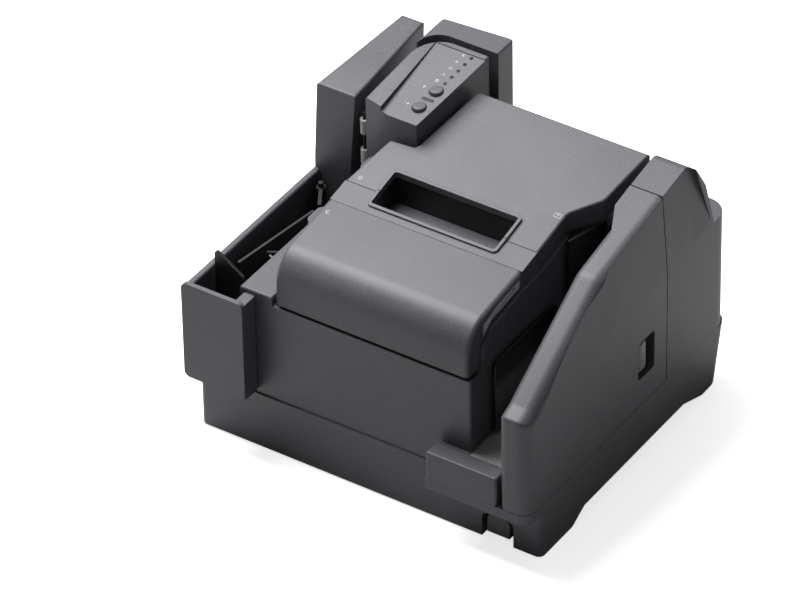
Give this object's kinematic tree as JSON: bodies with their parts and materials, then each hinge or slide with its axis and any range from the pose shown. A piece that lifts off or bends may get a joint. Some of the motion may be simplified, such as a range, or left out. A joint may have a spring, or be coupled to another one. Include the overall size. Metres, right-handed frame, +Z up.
{
  "type": "cheque scanner",
  "caption": "Desktop cheque scanner with a receipt printer: hinged roll cover, top cover and side cover, sorting pocket, feeder and operation panel.",
  "frame": {"origin": "centre of the footprint on the table, x to the device's right, y to its rear, z up", "axes": "+X right, +Y rear, +Z up"},
  "size_m": [0.23, 0.218, 0.1845],
  "materials": {
    "case_plastic": "spark-eroded dark grey ABS",
    "dark_plastic": "near black moulded plastic",
    "light_plastic": "light grey acetal",
    "steel": "zinc-plated steel",
    "brass": "turned brass",
    "rubber": "ground rubber",
    "aluminium": "extruded aluminium",
    "board": "green solder mask",
    "lens": "smoked clear lens",
    "film": "silver grey film, bare"
  },
  "bodies": {
    "base": {"lower_case": "case_plastic", "rubber_feet": "rubber", "case_screws": "steel", "rear_connectors": "dark_plastic", "main_board": "board", "main_frame": "steel", "centre_housing": "case_plastic", "drive_motor": "steel", "print_head": "aluminium", "head_springs": "steel", "cutter_frame": "dark_plastic", "tear_blade": "steel", "cutter_cover": "case_plastic", "slot_walls": "dark_plastic", "pocket_case": "case_plastic", "pocket_divider": "dark_plastic", "pocket_spring_wire": "steel", "left_tower": "case_plastic", "mid_tower": "case_plastic", "panel_lenses": "lens", "rear_tower": "case_plastic", "rear_deck": "case_plastic", "path_floor": "dark_plastic", "feeder_tray": "case_plastic", "feeder_floor": "light_plastic", "guide_plate": "dark_plastic", "side_cover_pin": "steel", "rear_cover": "case_plastic", "magnetic_head": "aluminium"},
    "roll_cover": {"roll_cover": "case_plastic", "side_label": "film"},
    "platen": {"platen_roller": "rubber", "platen_shaft": "steel", "platen_gear": "light_plastic"},
    "drive_gear": {"drive_gear": "light_plastic"},
    "motor_pinion": {"motor_pinion": "brass"},
    "top_cover": {"top_cover": "case_plastic", "top_cover_pins": "steel"},
    "side_cover": {"side_cover": "case_plastic", "scan_bar": "lens"},
    "release_lever": {"release_lever": "dark_plastic"},
    "power_button": {"power_button": "dark_plastic"},
    "near_button": {"near_button": "dark_plastic"},
    "far_button": {"far_button": "dark_plastic"},
    "pocket_stopper": {"pocket_stopper": "dark_plastic"},
    "sorting_gate": {"sorting_gate": "dark_plastic", "gate_shaft": "light_plastic"},
    "hopper_plate": {"hopper_plate": "dark_plastic", "hopper_stems": "light_plastic"},
    "feed_roller": {"feed_shaft": "steel", "feed_tyres": "rubber"},
    "exit_roller": {"exit_shaft": "steel", "exit_rollers": "light_plastic"}
  },
  "joints": [
    {"name": "roll_cover_hinge", "type": "hinge", "parent": "base", "child": "roll_cover", "pos_m": [0, -0.088, 0.1105], "axis": [1, 0, 0], "range_deg": [0, 80]},
    {"name": "platen_spin", "type": "hinge", "parent": "roll_cover", "child": "platen", "pos_m": [0, -0.048, 0.117], "axis": [1, 0, 0], "continuous": true},
    {"name": "drive_gear_spin", "type": "hinge", "parent": "base", "child": "drive_gear", "pos_m": [0.053, -0.03929, 0.09972], "axis": [1, 0, 0], "continuous": true},
    {"name": "pinion_spin", "type": "hinge", "parent": "base", "child": "motor_pinion", "pos_m": [0.053, -0.0238, 0.09284], "axis": [1, 0, 0], "continuous": true},
    {"name": "top_cover_hinge", "type": "hinge", "parent": "base", "child": "top_cover", "pos_m": [0.019, 0.058, 0.158], "axis": [-1, 0, 0], "range_deg": [0, 60]},
    {"name": "side_cover_hinge", "type": "hinge", "parent": "base", "child": "side_cover", "pos_m": [0.101, -0.103, 0.046], "axis": [0, 0, -1], "range_deg": [0, 75]},
    {"name": "release_lever_hinge", "type": "hinge", "parent": "side_cover", "child": "release_lever", "pos_m": [0.1088, 0.0095, 0.071], "axis": [0, 0, -1], "range_deg": [0, 14], "stiffness_Nm_per_rad": 0.02},
    {"name": "power_button_press", "type": "slide", "parent": "base", "child": "power_button", "axis": [0, 1, 0], "range_m": [0, 0.0016], "stiffness_N_per_m": 300},
    {"name": "near_button_press", "type": "slide", "parent": "base", "child": "near_button", "axis": [0, 0, -1], "range_m": [0, 0.0008], "stiffness_N_per_m": 300},
    {"name": "far_button_press", "type": "slide", "parent": "base", "child": "far_button", "axis": [0, 0, -1], "range_m": [0, 0.0008], "stiffness_N_per_m": 300},
    {"name": "stopper_slide", "type": "slide", "parent": "base", "child": "pocket_stopper", "axis": [0, 1, 0], "range_m": [0, 0.014]},
    {"name": "gate_swing", "type": "hinge", "parent": "base", "child": "sorting_gate", "pos_m": [-0.1035, 0.0155, 0.08], "axis": [0, 0, 1], "range_deg": [0, 30]},
    {"name": "hopper_slide", "type": "slide", "parent": "base", "child": "hopper_plate", "axis": [1, 0, 0], "range_m": [0, 0.014]},
    {"name": "feed_roller_spin", "type": "hinge", "parent": "base", "child": "feed_roller", "pos_m": [0.0835, 0.039, 0.078], "axis": [0, 0, 1], "continuous": true},
    {"name": "exit_roller_spin", "type": "hinge", "parent": "base", "child": "exit_roller", "pos_m": [-0.0789, 0.0256, 0.13], "axis": [0, 0, 1], "continuous": true}
  ],
  "couplings": [
    {"joint": "drive_gear_spin", "follows": "platen_spin", "ratio": -0.6},
    {"joint": "pinion_spin", "follows": "platen_spin", "ratio": 1.5}
  ]
}
